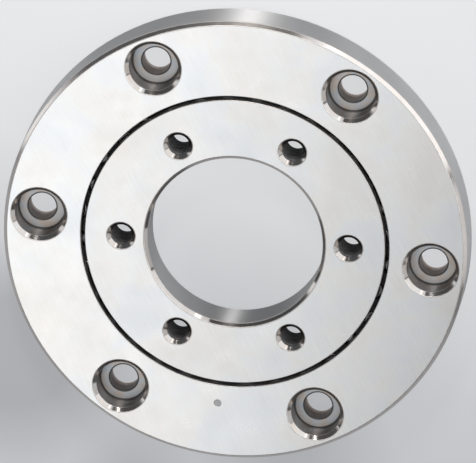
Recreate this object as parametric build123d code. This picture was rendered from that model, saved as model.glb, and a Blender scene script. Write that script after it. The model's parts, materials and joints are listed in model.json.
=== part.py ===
from build123d import *
from math import radians, sin, sqrt
import os

# Slim crossed roller bearing with mounting holes in both rings.
# It lies on its back face, with its axis on +Z. The origin is on the axis, at the back face.
# Both rings are one piece each. Between them runs a row of short rollers whose axes lean
# 45 degrees to the bearing's axis, one up and outward, the next down and outward, and so on.
# The rollers and their spacers go in through a radial hole, which a pinned plug closes.
# Sizes are millimetres and degrees.

os.makedirs("parts", exist_ok=True)

# Width, and the pitch circle that the rollers' centres stand on
WIDTH = 5.0
PITCH_DIAMETER = 34.8

# Ring walls, set by the screws in them: pitch circle to screws, and screws to the ring's wall.
# They give an outside diameter of 53 and a bore of 20.
OUTER_SCREWS_FROM_PITCH = 5.1
OUTSIDE_FROM_OUTER_SCREWS = 4.0
INNER_SCREWS_FROM_PITCH = 4.4
BORE_FROM_INNER_SCREWS = 3.0
EDGE_CHAMFER = 0.4

# Rollers, and the V raceways that hold them
ROLLER_COUNT = 32
ROLLER_DIAMETER = 2.0
ROLLER_END_PLAY = 0.1
ROLLER_LEAN = 45.0
RACEWAY_CLEARANCE = 0.05

# Slot between the rings, seen from the front and from the back
SLOT_WIDTH = 0.5

# Spacers between the rollers, square to the raceways
SPACER_SIDE_PLAY = 0.1
SPACER_CLEARANCE = 0.05
SADDLE_DEPTH = 0.1

# How far the roller row and the inner ring stand turned in the outer ring
ROW_TURN = -2.25
INNER_TURN = 5.25

# Counterbored holes of the outer ring, for M3 socket head screws from the front
OUTER_SCREW_COUNT = 6
SCREW_HOLE_DIAMETER = 3.2
COUNTERBORE_DIAMETER = 5.6
COUNTERBORE_DEPTH = 2.6
COUNTERBORE_CHAMFER = 0.45

# Tapped holes of the inner ring, M3, bored at the thread's major diameter
INNER_SCREW_COUNT = 6
THREAD_DIAMETER = 3.0
THREAD_MOUTH_CHAMFER = 0.15

# Filling plug, pointing in from the outside, and the pin that locks it
PLUG_ANGLE = 270.0
PLUG_HOLE_DIAMETER = 3.0
PLUG_CLEARANCE = 0.02
PLUG_RECESS = 0.02
PIN_HOLE_DIAMETER = 0.8
PIN_CLEARANCE = 0.01
PIN_RECESS = 0.05
PIN_BEHIND_RACEWAY = 1.0

pitch_radius = PITCH_DIAMETER / 2
outer_screw_radius = pitch_radius + OUTER_SCREWS_FROM_PITCH
outside_radius = outer_screw_radius + OUTSIDE_FROM_OUTER_SCREWS
inner_screw_radius = pitch_radius - INNER_SCREWS_FROM_PITCH
bore_radius = inner_screw_radius - BORE_FROM_INNER_SCREWS
mid_height = WIDTH / 2

# Each raceway is a V of two flanks that stand off the rollers by the clearance.
# Its point, where the flanks would meet, is this far from the pitch circle.
raceway_reach = (ROLLER_DIAMETER / 2 + RACEWAY_CLEARANCE) * sqrt(2)
inner_land_radius = pitch_radius - SLOT_WIDTH / 2
outer_land_radius = pitch_radius + SLOT_WIDTH / 2
pin_radius = pitch_radius + raceway_reach + PIN_BEHIND_RACEWAY

# From one roller to the next, and the spacer that fills the room between them
roller_step = 360.0 / ROLLER_COUNT
roller_spacing = 2 * pitch_radius * sin(radians(roller_step / 2))
spacer_waist = roller_spacing - ROLLER_DIAMETER - 2 * SPACER_CLEARANCE


def turned(points):
    """A solid of revolution about Z from its half section, given as radius and height."""
    outline = Polyline([(r, 0, z) for r, z in points], close=True)
    return revolve(make_face(outline), axis=Axis.Z)


def ring_section(land_radius, wall_radius, side):
    """Half section of a ring: side is +1 where the V opens inward, as in the outer ring."""
    half_mouth = raceway_reach - SLOT_WIDTH / 2
    return [
        (land_radius, 0),
        (land_radius, mid_height - half_mouth),
        (pitch_radius + side * raceway_reach, mid_height),
        (land_radius, mid_height + half_mouth),
        (land_radius, WIDTH),
        (wall_radius - side * EDGE_CHAMFER, WIDTH),
        (wall_radius, WIDTH - EDGE_CHAMFER),
        (wall_radius, EDGE_CHAMFER),
        (wall_radius - side * EDGE_CHAMFER, 0),
    ]


def upright(radius, bottom, top):
    """A round bar along Z."""
    return Pos(0, 0, bottom) * extrude(Circle(radius), amount=top - bottom)


def plug_rod(radius, start, end):
    """A round bar that points along the plug's radius, between two distances from the axis."""
    bar = Pos(start, 0, mid_height) * Rot(0, 90, 0) * upright(radius, 0, end - start)
    return Rot(0, 0, PLUG_ANGLE) * bar


def pin_bar(radius, bottom, top):
    """A round bar along Z at the pin's place."""
    return Rot(0, 0, PLUG_ANGLE) * Pos(pin_radius, 0, 0) * upright(radius, bottom, top)


def tapped_hole():
    """What one tapped hole takes away, with a chamfered mouth at both ends."""
    radius = THREAD_DIAMETER / 2
    mouth = radius + THREAD_MOUTH_CHAMFER
    return turned([
        (0, 0),
        (mouth, 0),
        (radius, THREAD_MOUTH_CHAMFER),
        (radius, WIDTH - THREAD_MOUTH_CHAMFER),
        (mouth, WIDTH),
        (0, WIDTH),
    ])


def counterbored_hole():
    """What one screw takes away: its through hole, and the counterbore for its head."""
    radius = SCREW_HOLE_DIAMETER / 2
    head_radius = COUNTERBORE_DIAMETER / 2
    floor = WIDTH - COUNTERBORE_DEPTH
    return turned([
        (0, 0),
        (radius, 0),
        (radius, floor),
        (head_radius, floor),
        (head_radius, WIDTH - COUNTERBORE_CHAMFER),
        (head_radius + COUNTERBORE_CHAMFER, WIDTH),
        (0, WIDTH),
    ])


def inner_ring():
    """One-piece ring with the V raceway outside and tapped holes through it."""
    ring = turned(ring_section(inner_land_radius, bore_radius, -1))
    places = PolarLocations(inner_screw_radius, INNER_SCREW_COUNT, start_angle=INNER_TURN)
    return ring - places * tapped_hole()


def outer_ring():
    """One-piece ring with the V raceway inside, counterbored holes and the filling hole."""
    ring = turned(ring_section(outer_land_radius, outside_radius, 1))
    ring -= PolarLocations(outer_screw_radius, OUTER_SCREW_COUNT) * counterbored_hole()
    ring -= plug_rod(PLUG_HOLE_DIAMETER / 2, pitch_radius, outside_radius + EDGE_CHAMFER)
    return ring - pin_bar(PIN_HOLE_DIAMETER / 2, 0, WIDTH)


def filling_plug():
    """Plug whose inner end carries the raceway on across the filling hole."""
    blank = turned(ring_section(outer_land_radius, outside_radius - PLUG_RECESS, 1))
    radius = PLUG_HOLE_DIAMETER / 2 - PLUG_CLEARANCE
    plug = blank & plug_rod(radius, pitch_radius, outside_radius)
    return plug - pin_bar(PIN_HOLE_DIAMETER / 2, 0, WIDTH)


def plug_pin():
    """Straight pin through the ring and the plug, just below both faces."""
    return pin_bar(PIN_HOLE_DIAMETER / 2 - PIN_CLEARANCE, PIN_RECESS, WIDTH - PIN_RECESS)


def on_row(angle):
    """A place on the pitch circle, with X outward, Y along the row and Z up."""
    return Rot(0, 0, ROW_TURN + angle) * Pos(pitch_radius, 0, mid_height)


def lean(index):
    """Turn that lays a roller's axis up and outward for an even index, down for an odd one."""
    return Rot(0, ROLLER_LEAN, 0) if index % 2 == 0 else Rot(0, 180 - ROLLER_LEAN, 0)


def roller(index):
    """One roller at its place in the row."""
    half_length = (ROLLER_DIAMETER - ROLLER_END_PLAY) / 2
    bar = upright(ROLLER_DIAMETER / 2, -half_length, half_length)
    return on_row(index * roller_step) * lean(index) * bar


def spacer(index):
    """Saddle between one roller and the next, hollowed on both sides to fit them."""
    side = ROLLER_DIAMETER - SPACER_SIDE_PLAY
    block = Rot(0, ROLLER_LEAN, 0) * Box(side, spacer_waist + 2 * SADDLE_DEPTH, side)
    hollow = upright(ROLLER_DIAMETER / 2 + SPACER_CLEARANCE, -ROLLER_DIAMETER, ROLLER_DIAMETER)
    middle = on_row((index + 0.5) * roller_step)
    before = on_row(index * roller_step) * lean(index) * hollow
    after = on_row((index + 1) * roller_step) * lean(index + 1) * hollow
    return middle * block - before - after


def save(shape, node):
    """Writes one node."""
    shape.label = node
    export_step(shape, f"parts/{node}.step")


save(inner_ring(), "inner_ring")
save(outer_ring(), "outer_ring")
save(filling_plug(), "filling_plug")
save(plug_pin(), "plug_pin")
for number in range(ROLLER_COUNT):
    save(roller(number), f"roller_{number + 1:02d}")
save(Compound(children=[spacer(number) for number in range(ROLLER_COUNT)]), "spacers")
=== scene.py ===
import json
from math import cos, pi, radians, sin, tau

import bmesh
import bpy
from mathutils import Matrix, Vector


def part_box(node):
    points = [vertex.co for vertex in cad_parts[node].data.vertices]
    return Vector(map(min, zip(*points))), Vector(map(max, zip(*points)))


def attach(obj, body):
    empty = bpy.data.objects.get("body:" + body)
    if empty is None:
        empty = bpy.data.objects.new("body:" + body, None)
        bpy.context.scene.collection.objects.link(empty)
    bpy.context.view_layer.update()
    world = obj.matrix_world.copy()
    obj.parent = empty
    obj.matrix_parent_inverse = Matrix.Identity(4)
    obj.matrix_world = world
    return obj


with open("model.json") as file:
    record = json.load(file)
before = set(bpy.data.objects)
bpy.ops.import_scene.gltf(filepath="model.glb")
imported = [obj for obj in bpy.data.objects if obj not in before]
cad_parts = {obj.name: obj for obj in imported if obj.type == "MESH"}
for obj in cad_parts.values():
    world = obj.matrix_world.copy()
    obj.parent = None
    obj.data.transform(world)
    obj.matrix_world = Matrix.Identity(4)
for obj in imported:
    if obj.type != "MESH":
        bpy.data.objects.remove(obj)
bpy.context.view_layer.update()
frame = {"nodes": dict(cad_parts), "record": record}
nodes = frame["nodes"]

# Lengths are millimetres until they reach Blender, which counts metres. Angles are degrees.
MM = 0.001

# Camera, as fitted to the photo: it looks down on the bearing, from nearly straight above
AIM = (0.262, 1.355, 5.0)
TILT = 22.679
HEADING = 76.391
ROLL = 159.255
DISTANCE = 1317.416
LENS = 880.5
SENSOR_WIDTH = 36.0

# Sizes that the frame gives
MOUNTS = {mount["name"]: mount["dims"] for mount in frame["record"]["mounts"]}
OUTSIDE_RADIUS = MOUNTS["housing_seat"]["r_mm"]
BORE_RADIUS = MOUNTS["shaft_bore"]["r_mm"]
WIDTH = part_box("outer_ring")[1].z / MM
OUTER_SCREW_COUNT = MOUNTS["outer_screws"]["count"]
OUTER_SCREW_CIRCLE = MOUNTS["outer_screws"]["pcd_mm"] / 2
SCREW_HOLE_RADIUS = MOUNTS["outer_screws"]["hole_r_mm"]
INNER_SCREW_COUNT = MOUNTS["inner_screws"]["count"]
INNER_SCREW_CIRCLE = MOUNTS["inner_screws"]["pcd_mm"] / 2
THREAD_RADIUS = MOUNTS["inner_screws"]["hole_r_mm"]

# Sizes of the source that the frame doesn't give
INNER_SCREW_TURN = 5.25
EDGE_CHAMFER = 0.4
SLOT_RADIUS = 17.4
SLOT_WIDTH = 0.5
COUNTERBORE_RADIUS = 2.8
COUNTERBORE_DEPTH = 2.6
TAPPED_MOUTH_RADIUS = 1.65

# Countersunk lip of the tapped holes, which starts just inside the source's own mouth
LIP_INSET = 0.05
LIP_START = 0.03
LIP_DEPTH = 0.42

# M3 thread of the tapped holes
THREAD_PITCH = 0.5
THREAD_MINOR_RADIUS = 1.22
THREAD_CREST = 0.12
THREAD_ROOT = 0.44
THREAD_SINK = 0.02
THREAD_STEPS = 48
THREAD_SHARP_ANGLE = 25

# Broken edges
OUTER_BREAK = 0.12
INNER_BREAK = 0.07
ROLLER_BREAK = 0.12
PIN_BREAK = 0.06
BREAK_ANGLE = 28
WELD = 0.0005

# How facets are sorted: distances of their centres, and how far up their normals point
SLACK = 0.02
COUNTERBORE_REACH = 3.4
TAPPED_REACH = 1.7
FLAT_RISE = 0.99
SLOPE_RISE = 0.1
LIP_RISE = 0.5

# Painted shade: dark lines along the slot, round the screw holes and at the foot of the counterbores
SLOT_LINE = 0.02
WALL_LINE = 0.16
LINE_FADE = 0.08
WALL_FADE = 0.1
FOOT_FADE = 0.5

# Floor, lamps and world
FLOOR_SIZE = 3000
FLOOR_TURN = 8.7
FLOOR_GLOW = 0.82
LAMP_DISTANCE = 260
STRIP_COLOUR = (1.0, 0.97, 0.94)
WORLD_COLOUR = (0.9, 0.93, 0.97)
WORLD_STRENGTH = 0.15

# Takes the height out of a vector
FLATTEN = (1.0, 1.0, 0.0)


class Look:
    """A material being built. Values are outputs of its other nodes, or plain ones."""

    def __init__(self, name):
        self.material = bpy.data.materials.new(name)
        self.material.use_nodes = True
        self.tree = self.material.node_tree
        self.tree.nodes.clear()

    def add(self, kind, **settings):
        node = self.tree.nodes.new(kind)
        for key, value in settings.items():
            setattr(node, key, value)
        return node

    def feed(self, socket, value):
        if isinstance(value, bpy.types.NodeSocket):
            self.tree.links.new(value, socket)
        else:
            socket.default_value = value

    def finish(self, shader):
        """The material, with this shader as its surface."""
        self.feed(self.add("ShaderNodeOutputMaterial").inputs["Surface"], shader)
        return self.material

    def surface(self, **sockets):
        """The material, with these values on the principled shader's sockets."""
        shader = self.add("ShaderNodeBsdfPrincipled")
        for key, value in sockets.items():
            self.feed(shader.inputs[key.replace("_", " ")], value)
        return self.finish(shader.outputs[0])

    def maths(self, operation, first, second=0.0):
        node = self.add("ShaderNodeMath", operation=operation)
        self.feed(node.inputs[0], first)
        self.feed(node.inputs[1], second)
        return node.outputs[0]

    def vector(self, operation, first, second=(0.0, 0.0, 0.0)):
        """Maths on vectors. Some operations give a number."""
        node = self.add("ShaderNodeVectorMath", operation=operation)
        self.feed(node.inputs[0], first)
        self.feed(node.inputs[1], second)
        number = operation in ("LENGTH", "DISTANCE", "DOT_PRODUCT")
        return node.outputs["Value" if number else "Vector"]

    def shade(self, colour, factor):
        """A colour made darker or lighter, or a vector made shorter or longer."""
        node = self.add("ShaderNodeVectorMath", operation="SCALE")
        self.feed(node.inputs[0], colour)
        self.feed(node.inputs["Scale"], factor)
        return node.outputs["Vector"]

    def split(self, vector):
        """A vector's parts, by name."""
        node = self.add("ShaderNodeSeparateXYZ")
        self.feed(node.inputs[0], vector)
        return node.outputs

    def join(self, x=0.0, y=0.0, z=0.0):
        """A vector from its parts."""
        node = self.add("ShaderNodeCombineXYZ")
        for socket, value in zip(node.inputs, (x, y, z)):
            self.feed(socket, value)
        return node.outputs[0]

    def turn_normal(self, normal, start, end):
        """A normal taken from WORLD to OBJECT, or back."""
        node = self.add("ShaderNodeVectorTransform", vector_type="NORMAL")
        node.convert_from = start
        node.convert_to = end
        self.feed(node.inputs[0], normal)
        return node.outputs[0]

    def place(self, scale=(1.0, 1.0, 1.0), turn=0.0):
        """Where a point is in its object, in millimetres, turned about Z and then stretched."""
        turned = self.add("ShaderNodeMapping")
        turned.inputs["Rotation"].default_value = (0.0, 0.0, radians(turn))
        turned.inputs["Scale"].default_value = (1 / MM, 1 / MM, 1 / MM)
        self.feed(turned.inputs["Vector"], self.add("ShaderNodeTexCoord").outputs["Object"])
        return self.vector("MULTIPLY", turned.outputs[0], scale)

    def noise(self, where, scale, detail=2.0, rough=0.5):
        texture = self.add("ShaderNodeTexNoise")
        texture.inputs["Scale"].default_value = scale
        texture.inputs["Detail"].default_value = detail
        texture.inputs["Roughness"].default_value = rough
        self.feed(texture.inputs["Vector"], where)
        return texture.outputs["Fac"]

    def ramp(self, value, *stops):
        """A colour for each value, from stops given as (place, colour)."""
        ramp = self.add("ShaderNodeValToRGB")
        elements = ramp.color_ramp.elements
        while len(elements) < len(stops):
            elements.new(0.5)
        for element, (place, colour) in zip(elements, stops):
            element.position = place
            element.color = (*colour, 1)
        self.feed(ramp.inputs[0], value)
        return ramp.outputs["Color"]

    def span(self, value, low, high, start=0.0, end=1.0):
        """Takes start..end to low..high. A value past either end stays at that end."""
        mapped = self.add("ShaderNodeMapRange")
        mapped.inputs["From Min"].default_value = start
        mapped.inputs["From Max"].default_value = end
        mapped.inputs["To Min"].default_value = low
        mapped.inputs["To Max"].default_value = high
        self.feed(mapped.inputs["Value"], value)
        return mapped.outputs[0]

    def bump(self, height, depth, onto=None):
        """Relief of a depth in millimetres, over the surface's own normal or another."""
        node = self.add("ShaderNodeBump")
        node.inputs["Strength"].default_value = 1.0
        node.inputs["Distance"].default_value = depth * MM
        self.feed(node.inputs["Height"], height)
        if onto is not None:
            self.feed(node.inputs["Normal"], onto)
        return node.outputs[0]


def height(look):
    """How far a point is above the back face."""
    return look.split(look.place())["Z"]


def from_axis(look, where):
    """How far a place is from its Z axis."""
    return look.vector("LENGTH", look.vector("MULTIPLY", where, FLATTEN))


def about_hole(look):
    """The place as seen from the axis of the nearest counterbored hole."""
    where = look.place()
    parts = look.split(where)
    pitch = tau / OUTER_SCREW_COUNT
    angle = look.maths("ARCTAN2", parts["Y"], parts["X"])
    nearest = look.maths("ROUND", look.maths("DIVIDE", angle, pitch))
    nearest = look.maths("MULTIPLY", nearest, pitch)
    x = look.maths("MULTIPLY", look.maths("COSINE", nearest), OUTER_SCREW_CIRCLE)
    y = look.maths("MULTIPLY", look.maths("SINE", nearest), OUTER_SCREW_CIRCLE)
    return look.vector("SUBTRACT", where, look.join(x, y))


def upwards(look):
    """Straight up. As a tangent it stretches highlights along Z, as grooves round a rim or hole do."""
    return look.join(z=1.0)


def round_normal(look, where, chamfer=False):
    """A facet's normal, turned straight from or to the Z axis of a place, so that facets don't show.

    A chamfer slopes at 45 degrees all round.
    """
    outwards = look.vector("NORMALIZE", look.vector("MULTIPLY", where, FLATTEN))
    facet = look.add("ShaderNodeNewGeometry").outputs["True Normal"]
    facet = look.turn_normal(facet, "WORLD", "OBJECT")
    rise = look.split(facet)["Z"]
    if chamfer:
        rise = look.maths("MULTIPLY", look.maths("SIGN", rise), sin(radians(45)))
    rest = look.maths("SUBTRACT", 1.0, look.maths("MULTIPLY", rise, rise))
    level = look.maths("SQRT", look.maths("MAXIMUM", rest, 0.0))
    side = look.maths("SIGN", look.vector("DOT_PRODUCT", facet, outwards))
    level = look.shade(outwards, look.maths("MULTIPLY", level, side))
    return look.turn_normal(look.vector("ADD", level, look.join(z=rise)), "OBJECT", "WORLD")


def ground_steel(name, tone):
    """Flat ground faces: satin, nearly white, with faint clouds and strokes, and painted shade along the
    slot.
    """
    look = Look(name)
    where = look.place()
    clouds = look.noise(where, 0.14, detail=4.0, rough=0.6)
    warm = (0.36, (0.87, 0.85, 0.82))
    plain = (0.5, (0.89, 0.885, 0.875))
    cool = (0.64, (0.86, 0.88, 0.9))
    strokes = look.noise(look.place((0.3, 7.0, 1.0), turn=58.0), 1.0, detail=3.0)
    stroked = look.span(strokes, 0.965 * tone, 1.02 * tone, start=0.3, end=0.7)
    tint = look.shade(look.ramp(clouds, warm, plain, cool), stroked)
    # Painted shade: the faces darken next to the slot between the rings
    from_slot = look.maths("ABSOLUTE", look.maths("SUBTRACT", from_axis(look, where), SLOT_RADIUS))
    lip = SLOT_WIDTH / 2 + SLOT_LINE
    patches = look.noise(where, 0.3)
    return look.surface(
        Base_Color=look.shade(tint, look.span(from_slot, 0.3, 1.0, start=lip, end=lip + LINE_FADE)),
        Metallic=1.0,
        Roughness=look.span(patches, 0.27, 0.33, start=0.3, end=0.7),
        Normal=look.bump(strokes, 0.0005),
    )


def turned_steel(name, tone):
    """Outside and bore: fine turned rings."""
    look = Look(name)
    clouds = look.noise(look.place(), 0.2, detail=3.0)
    tint = look.ramp(clouds, (0.3, (0.93, 0.93, 0.94)), (0.7, (1.0, 1.01, 1.03)))
    rings = look.noise(look.place((0.02, 0.02, 14.0)), 1.0, detail=3.0)
    return look.surface(
        Base_Color=look.shade(tint, look.span(rings, 0.94 * tone, 1.06 * tone, start=0.3, end=0.7)),
        Metallic=1.0,
        Roughness=0.39,
        Anisotropic=1.0,
        Tangent=upwards(look),
        Normal=look.bump(rings, 0.001, onto=round_normal(look, look.place())),
    )


def edge_steel(name, tone, rough):
    """Chamfers of the rim and the bore, a little darker and browner than the faces."""
    look = Look(name)
    stain = look.noise(look.place(), 0.8, detail=3.0)
    tint = look.ramp(stain, (0.3, (0.57, 0.53, 0.5)), (0.7, (0.6, 0.585, 0.575)))
    return look.surface(
        Base_Color=look.shade(tint, tone),
        Metallic=1.0,
        Roughness=look.span(stain, rough, rough + 0.06),
        Normal=round_normal(look, look.place(), chamfer=True),
    )


def broken_steel():
    """Broken edges: dull, a little brown, and painted dark deep inside the bearing as shade."""
    look = Look("broken_steel")
    stain = look.noise(look.place(), 0.9, detail=3.0)
    tint = look.ramp(stain, (0.3, (0.5, 0.46, 0.43)), (0.7, (0.58, 0.565, 0.55)))
    # Painted shade: edges deep inside the holes and slot are darkened
    from_middle = look.maths("ABSOLUTE", look.maths("SUBTRACT", height(look), WIDTH / 2))
    return look.surface(
        Base_Color=look.shade(tint, look.span(from_middle, 0.15, 1.0, start=0.8, end=1.6)),
        Metallic=1.0,
        Roughness=0.45,
    )


def bored_steel():
    """Walls of the counterbores: dark, with tool marks, and painted darkest at the foot as shade."""
    look = Look("bored_steel")
    stain = look.noise(look.place(), 0.9, detail=3.0)
    warm = (0.3, (0.17, 0.15, 0.138))
    plain = (0.5, (0.2, 0.19, 0.187))
    cool = (0.7, (0.215, 0.228, 0.245))
    # Painted shade: the wall darkens towards the corner at its foot
    foot = WIDTH - COUNTERBORE_DEPTH
    lit = look.span(height(look), 0.4, 1.0, start=foot, end=foot + FOOT_FADE)
    marks = look.noise(look.place((1.0, 1.0, 12.0)), 1.0)
    return look.surface(
        Base_Color=look.shade(look.ramp(stain, warm, plain, cool), lit),
        Metallic=1.0,
        Roughness=0.5,
        Anisotropic=0.9,
        Tangent=upwards(look),
        Normal=look.bump(marks, 0.002, onto=round_normal(look, about_hole(look))),
    )


def milled_steel():
    """Floors of the counterbores: rough from the cutter, warm here and cool there, with painted shade at
    both edges.
    """
    look = Look("milled_steel")
    where = look.place()
    stain = look.noise(where, 0.7, detail=3.0)
    warm = (0.35, (0.67, 0.59, 0.53))
    plain = (0.5, (0.66, 0.64, 0.62))
    cool = (0.65, (0.61, 0.65, 0.7))
    # Painted shade: dark rings at the through hole's edge and at the foot of the wall
    distance = from_axis(look, about_hole(look))
    at_hole = SCREW_HOLE_RADIUS + OUTER_BREAK
    at_wall = COUNTERBORE_RADIUS - WALL_LINE
    off_hole = look.span(distance, 0.15, 1.0, start=at_hole, end=at_hole + LINE_FADE)
    off_wall = look.span(distance, 1.0, 0.2, start=at_wall - WALL_FADE, end=at_wall)
    edge_shade = look.maths("MULTIPLY", off_hole, off_wall)
    return look.surface(
        Base_Color=look.shade(look.ramp(stain, warm, plain, cool), edge_shade),
        Metallic=1.0,
        Roughness=0.55,
        Normal=look.bump(look.noise(where, 6.0), 0.003),
    )


def drilled_steel():
    """Through holes: dull and brown, with a painted highlight near the back face and painted shade
    further up.
    """
    look = Look("drilled_steel")
    stain = look.noise(look.place(), 1.6, detail=3.0)
    tint = look.ramp(stain, (0.35, (0.4, 0.31, 0.26)), (0.65, (0.5, 0.44, 0.41)))
    marks = look.noise(look.place((1.0, 1.0, 9.0)), 1.0)
    # Painted highlight near the back face, painted shade further up
    return look.surface(
        Base_Color=look.shade(tint, look.span(height(look), 1.0, 0.3, start=0.2, end=1.0)),
        Metallic=1.0,
        Roughness=0.5,
        Normal=look.bump(marks, 0.004, onto=round_normal(look, about_hole(look))),
    )


def mouth_steel(name, counterbore):
    """Countersunk mouths of the counterbores or of the tapped holes, burnished brown by the tool."""
    look = Look(name)
    stain = look.noise(look.place(), 1.1, detail=3.0)
    tint = look.ramp(stain, (0.3, (0.44, 0.385, 0.345)), (0.7, (0.45, 0.455, 0.46)))
    shape = {}
    if counterbore:
        shape["Normal"] = round_normal(look, about_hole(look), chamfer=True)
    return look.surface(Base_Color=tint, Metallic=1.0, Roughness=look.span(stain, 0.08, 0.15), **shape)


def tapped_steel():
    """Threads: dark, and painted darker further down as shade."""
    look = Look("tapped_steel")
    stain = look.noise(look.place(), 2.0)
    tint = look.ramp(stain, (0.3, (0.15, 0.142, 0.14)), (0.7, (0.19, 0.19, 0.2)))
    # Painted shade: darker deeper into the hole
    lit = look.span(height(look), 0.3, 1.0, start=WIDTH - 1.4, end=WIDTH - 0.3)
    return look.surface(Base_Color=look.shade(tint, lit), Metallic=1.0, Roughness=0.5)


def raceway_steel():
    """Slot walls and raceways: hardened."""
    look = Look("raceway_steel")
    stain = look.noise(look.place(), 1.0)
    tint = look.ramp(stain, (0.3, (0.5, 0.47, 0.46)), (0.7, (0.6, 0.6, 0.61)))
    return look.surface(Base_Color=tint, Metallic=1.0, Roughness=0.4)


def roller_steel():
    """Rollers: polished."""
    look = Look("roller_polish")
    stain = look.noise(look.place(), 1.5)
    return look.surface(
        Base_Color=look.ramp(stain, (0.3, (0.8, 0.81, 0.83)), (0.7, (0.88, 0.89, 0.91))),
        Metallic=1.0,
        Roughness=0.25,
        Normal=look.bump(look.noise(look.place(), 30.0), 0.0006),
    )


def spacer_resin():
    """Spacers: dark moulded resin."""
    look = Look("spacer_moulding")
    stain = look.noise(look.place(), 3.0, detail=3.0)
    return look.surface(
        Base_Color=look.ramp(stain, (0.3, (0.03, 0.03, 0.033)), (0.7, (0.075, 0.075, 0.08))),
        Roughness=0.45,
        Normal=look.bump(look.noise(look.place(), 14.0), 0.004),
    )


def pin_steel():
    """Pin and plug: ground, duller than the ring."""
    look = Look("pin_ground")
    stain = look.noise(look.place(), 6.0, detail=3.0)
    return look.surface(
        Base_Color=look.ramp(stain, (0.3, (0.4, 0.4, 0.41)), (0.7, (0.53, 0.53, 0.54))),
        Metallic=1.0,
        Roughness=0.4,
        Normal=look.bump(look.noise(look.place(), 14.0), 0.003),
    )


# Finish of each part of a ring, apart from its flat faces, which come last
RING_FINISHES = {
    "outside": turned_steel("turned_steel", 0.42),
    # The bore's copy of the turned steel is darker: painted shade inside the bore
    "bore": turned_steel("reamed_steel", 0.32),
    "outer_edge": edge_steel("edge_steel", 1.0, 0.14),
    # The bore's chamfers are a darker copy of the rim's: painted shade
    "bore_edge": edge_steel("bore_edge_steel", 0.7, 0.05),
    "broken_edge": broken_steel(),
    "counterbore_wall": bored_steel(),
    "counterbore_floor": milled_steel(),
    "screw_hole": drilled_steel(),
    "counterbore_mouth": mouth_steel("sunk_steel", counterbore=True),
    "tapped_mouth": mouth_steel("mouth_steel", counterbore=False),
    "tapped_hole": tapped_steel(),
    "raceway": raceway_steel(),
}
RING_PARTS = [*RING_FINISHES, "face"]


def to_hole(point, circle, count, turn):
    """Distance from a point to the nearest hole's axis on a bolt circle."""
    angles = [radians(turn) + tau * index / count for index in range(count)]
    return min((point.xy - circle * Vector((cos(angle), sin(angle)))).length for angle in angles)


def ring_part(centre, normal):
    """Which part of a ring a facet belongs to, from where it is and which way it faces."""
    flat = abs(normal.z) > FLAT_RISE
    sloping = SLOPE_RISE < abs(normal.z) < FLAT_RISE
    if flat and not SLACK < centre.z < WIDTH - SLACK:
        return "face"
    to_screw = to_hole(centre, OUTER_SCREW_CIRCLE, OUTER_SCREW_COUNT, 0.0)
    if to_screw < COUNTERBORE_REACH:
        if flat:
            return "counterbore_floor"
        if sloping:
            return "counterbore_mouth"
        return "screw_hole" if to_screw < SCREW_HOLE_RADIUS + SLACK else "counterbore_wall"
    if to_hole(centre, INNER_SCREW_CIRCLE, INNER_SCREW_COUNT, INNER_SCREW_TURN) < TAPPED_REACH:
        return "tapped_mouth" if sloping else "tapped_hole"
    radius = centre.xy.length
    if radius > OUTSIDE_RADIUS - EDGE_CHAMFER - SLACK:
        return "outer_edge" if sloping else "outside"
    if radius < BORE_RADIUS + EDGE_CHAMFER + SLACK:
        return "bore_edge" if sloping else "bore"
    return "raceway"


def dress_ring(node, face_finish):
    """Gives each facet of a CAD ring its finish. Its shape stays."""
    mesh = nodes[node].data
    mesh.materials.clear()
    for finish in [*RING_FINISHES.values(), face_finish]:
        mesh.materials.append(finish)
    for facet in mesh.polygons:
        facet.material_index = RING_PARTS.index(ring_part(facet.center / MM, facet.normal))


def dress(node, finish):
    """One finish for a whole CAD node."""
    mesh = nodes[node].data
    mesh.materials.clear()
    mesh.materials.append(finish)


def break_edges(node, width, finish=-1, segments=2):
    """Breaks a CAD node's sharp edges, with modifiers over its mesh. Finish -1 is that of the faces."""
    piece = nodes[node]
    weld = piece.modifiers.new("weld", "WELD")
    weld.merge_threshold = WELD * MM
    bevel = piece.modifiers.new("edges", "BEVEL")
    bevel.width = width * MM
    bevel.segments = segments
    bevel.limit_method = "ANGLE"
    bevel.angle_limit = radians(BREAK_ANGLE)
    bevel.harden_normals = True
    bevel.loop_slide = False
    bevel.material = finish


def dress_bearing():
    """Finishes and broken edges of all CAD nodes."""
    dress_ring("outer_ring", ground_steel("ground_steel", 1.0))
    dress_ring("inner_ring", ground_steel("ground_steel_inner", 0.94))
    pin = pin_steel()
    dress("filling_plug", pin)
    dress("plug_pin", pin)
    dress("spacers", spacer_resin())
    polished = roller_steel()
    for node in nodes:
        if node.startswith("roller_"):
            dress(node, polished)
            break_edges(node, ROLLER_BREAK, segments=3)
    broken = RING_PARTS.index("broken_edge")
    break_edges("outer_ring", OUTER_BREAK, broken)
    break_edges("inner_ring", INNER_BREAK, broken)
    break_edges("plug_pin", PIN_BREAK)


dress_bearing()


def turned_profile(profile, step):
    """A profile of (radius, height), turned some steps about the hole's axis."""
    turn = tau * step / THREAD_STEPS
    return [(radius * cos(turn), radius * sin(turn), rise) for radius, rise in profile]


def helix_sections():
    """Sections of the thread, which climbs the hole's wall between the two lips."""
    outer = THREAD_RADIUS + THREAD_SINK
    first = LIP_DEPTH + THREAD_CREST
    steps = int((WIDTH - 2 * first) / THREAD_PITCH * THREAD_STEPS)
    sections = []
    for step in range(steps + 1):
        middle = first + THREAD_PITCH * step / THREAD_STEPS
        profile = [
            (outer, middle - THREAD_ROOT / 2),
            (THREAD_MINOR_RADIUS, middle - THREAD_CREST / 2),
            (THREAD_MINOR_RADIUS, middle + THREAD_CREST / 2),
            (outer, middle + THREAD_ROOT / 2),
        ]
        sections.append(turned_profile(profile, step))
    return sections


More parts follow.
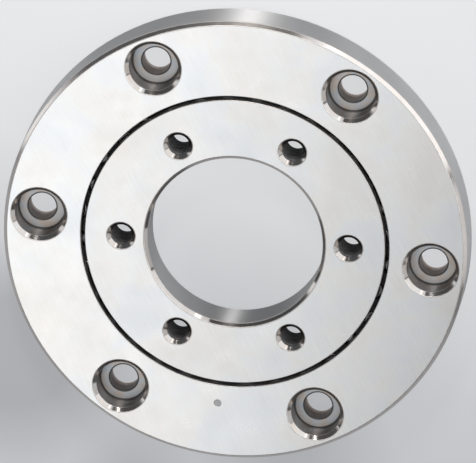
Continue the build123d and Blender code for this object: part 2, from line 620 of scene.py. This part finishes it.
def lip_sections(front):
    """Sections of the countersunk lip at one end of the hole."""
    profile = [
        (TAPPED_MOUTH_RADIUS - LIP_INSET, LIP_START),
        (THREAD_MINOR_RADIUS, LIP_DEPTH),
        (THREAD_MINOR_RADIUS, LIP_DEPTH + THREAD_CREST),
        (THREAD_RADIUS + THREAD_SINK, LIP_DEPTH + THREAD_ROOT / 2),
    ]
    if front:
        profile = [(radius, WIDTH - rise) for radius, rise in profile]
    return [turned_profile(profile, step) for step in range(THREAD_STEPS + 1)]


def sweep(mesh, sections):
    """Faces between each closed section and the next, and over both ends."""
    rings = [[mesh.verts.new(Vector(point) * MM) for point in section] for section in sections]
    for before, after in zip(rings, rings[1:]):
        for corner in range(len(before)):
            following = (corner + 1) % len(before)
            mesh.faces.new((before[corner], before[following], after[following], after[corner]))
    mesh.faces.new(rings[0][::-1])
    mesh.faces.new(rings[-1])


def faces_out(facet):
    """Whether a facet slopes towards the nearer end of the hole."""
    outwards = facet.normal.z * (facet.center.z / MM - WIDTH / 2) > 0.0
    return outwards and abs(facet.normal.z) >= LIP_RISE


def thread_mesh(name):
    """The thread of a tapped hole: a helix up its wall, and a lip at both ends."""
    mesh = bmesh.new()
    sweep(mesh, helix_sections())
    helix_faces = len(mesh.faces)
    for front in (False, True):
        sweep(mesh, lip_sections(front))
    bmesh.ops.recalc_face_normals(mesh, faces=mesh.faces)
    data = bpy.data.meshes.new(name)
    mesh.to_mesh(data)
    mesh.free()
    data.materials.append(RING_FINISHES["tapped_hole"])
    data.materials.append(RING_FINISHES["tapped_mouth"])
    for facet in data.polygons:
        facet.material_index = int(facet.index >= helix_faces and faces_out(facet))
    data.shade_smooth()
    data.set_sharp_from_angle(angle=radians(THREAD_SHARP_ANGLE))
    return data


def threads():
    """A thread in each tapped hole of the inner ring."""
    for index in range(INNER_SCREW_COUNT):
        name = f"thread_{index + 1}"
        piece = bpy.data.objects.new(name, thread_mesh(name))
        bpy.context.scene.collection.objects.link(piece)
        angle = radians(INNER_SCREW_TURN) + tau * index / INNER_SCREW_COUNT
        piece.location = (INNER_SCREW_CIRCLE * cos(angle) * MM, INNER_SCREW_CIRCLE * sin(angle) * MM, 0)
        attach(piece, "inner_ring")


threads()


def floor_paint():
    """Pale paint, with painted shading lighter towards +Y and -X, and painted soft round shadows.

    Most of what the camera and mirroring surfaces see of it is its own colour, whatever light it gets.
    """
    look = Look("floor_paint")
    where = look.place(turn=FLOOR_TURN)
    parts = look.split(where)
    # Painted shading: the floor gets lighter towards +Y
    tint = look.ramp(
        look.span(parts["Y"], 0.0, 1.0, start=-34.0, end=34.0),
        (0.0, (0.53, 0.54, 0.56)),
        (0.3, (0.6, 0.61, 0.63)),
        (0.55, (0.75, 0.755, 0.77)),
        (1.0, (0.79, 0.8, 0.81)),
    )
    # Centre of each painted shadow, share of the light that is left there, and where it starts to fade
    # and ends
    painted_shadows = [
        ((-21.2, -22.8, 0.0), 0.75, 6.5, 14.5),
        ((12.9, -25.7, 0.0), 0.81, 2.0, 12.0),
        ((-4.2, -33.9, 0.0), 0.86, 2.0, 8.0),
        ((0.0, -4.0, 0.0), 0.91, 4.0, 12.0),
    ]
    for centre, share, start, end in painted_shadows:
        tint = look.shade(tint, look.span(look.vector("DISTANCE", where, centre), share, 1.0, start, end))
    # Painted shading: a little darker towards +X
    tint = look.shade(tint, look.span(parts["X"], 1.02, 0.955, start=-12.0, end=30.0))
    lit = look.add("ShaderNodeBsdfDiffuse")
    look.feed(lit.inputs["Color"], tint)
    glow = look.add("ShaderNodeEmission")
    look.feed(glow.inputs["Color"], tint)
    path = look.add("ShaderNodeLightPath").outputs
    seen = look.maths("MAXIMUM", path["Is Camera Ray"], path["Is Glossy Ray"])
    seen = look.maths("MAXIMUM", seen, path["Is Transmission Ray"])
    mix = look.add("ShaderNodeMixShader")
    look.feed(mix.inputs[0], look.maths("MULTIPLY", seen, FLOOR_GLOW))
    look.feed(mix.inputs[1], lit.outputs[0])
    look.feed(mix.inputs[2], glow.outputs[0])
    return look.finish(mix.outputs[0])


def floor():
    """The floor that the bearing lies on."""
    half = FLOOR_SIZE / 2 * MM
    corners = [(-half, -half, 0), (half, -half, 0), (half, half, 0), (-half, half, 0)]
    mesh = bpy.data.meshes.new("floor")
    mesh.from_pydata(corners, [], [(0, 1, 2, 3)])
    mesh.materials.append(floor_paint())
    piece = bpy.data.objects.new("floor", mesh)
    bpy.context.scene.collection.objects.link(piece)


floor()


def towards(azimuth, elevation):
    """Unit vector at an azimuth from +X and an elevation from the floor."""
    flat = cos(radians(elevation))
    return Vector((flat * cos(radians(azimuth)), flat * sin(radians(azimuth)), sin(radians(elevation))))


def softbox(name, direction, size, brightness, aside=(0, 0, 0), colour=(1, 1, 1)):
    """A rectangular lamp that faces the bearing. Brightness is what a mirror would show of it."""
    lamp = bpy.data.lights.new(name, "AREA")
    lamp.shape = "RECTANGLE"
    lamp.size = size[0] * MM
    lamp.size_y = size[1] * MM
    lamp.energy = brightness * pi * lamp.size * lamp.size_y
    lamp.color = colour
    piece = bpy.data.objects.new(name, lamp)
    bpy.context.scene.collection.objects.link(piece)
    piece.location = (direction * LAMP_DISTANCE + Vector(aside)) * MM
    piece.rotation_euler = direction.to_track_quat("Z", "Y").to_euler()
    piece.visible_camera = False


def studio():
    """Lamps and world. The faces mirror the key, and the strip makes the streak on the rim."""
    softbox("key", towards(256.4, 67.3), (150, 420), 1.09, aside=(-55, 0, 0))
    softbox("right", towards(40, 38), (290, 320), 1.56)
    softbox("right_low", towards(-8, 26), (150, 220), 0.84)
    softbox("right_high", towards(10, 42), (260, 110), 1.3)
    softbox("left", towards(181, 38), (160, 120), 1.3)
    softbox("left_low", towards(170, 4), (120, 34), 1.4)
    softbox("strip", towards(99.6, 34), (18, 56), 102.0, colour=STRIP_COLOUR)
    softbox("strip_low", towards(97, 7), (45, 40), 7.0, colour=STRIP_COLOUR)
    softbox("band", towards(73, 23), (60, 40), 1.3)
    world = bpy.data.worlds.new("studio")
    world.use_nodes = True
    background = world.node_tree.nodes["Background"]
    background.inputs["Color"].default_value = (*WORLD_COLOUR, 1)
    background.inputs["Strength"].default_value = WORLD_STRENGTH
    bpy.context.scene.world = world


studio()


def camera():
    """The camera at the photo's viewing angle."""
    lens = bpy.data.cameras.new("camera")
    lens.sensor_fit = "HORIZONTAL"
    lens.sensor_width = SENSOR_WIDTH
    lens.lens = LENS
    piece = bpy.data.objects.new("camera", lens)
    bpy.context.scene.collection.objects.link(piece)
    back = towards(HEADING, 90 - TILT)
    upright = (Vector((0, 0, 1)) - back.z * back).normalized()
    sideways = (-back).cross(upright)
    up = cos(radians(ROLL)) * upright + sin(radians(ROLL)) * sideways
    right = (-back).cross(up)
    place = (Vector(AIM) + back * DISTANCE) * MM
    turn = Matrix((right, up, back)).transposed().to_4x4()
    piece.matrix_world = Matrix.Translation(place) @ turn
    bpy.context.scene.camera = piece


camera()
bpy.context.scene.view_settings.view_transform = "Standard"
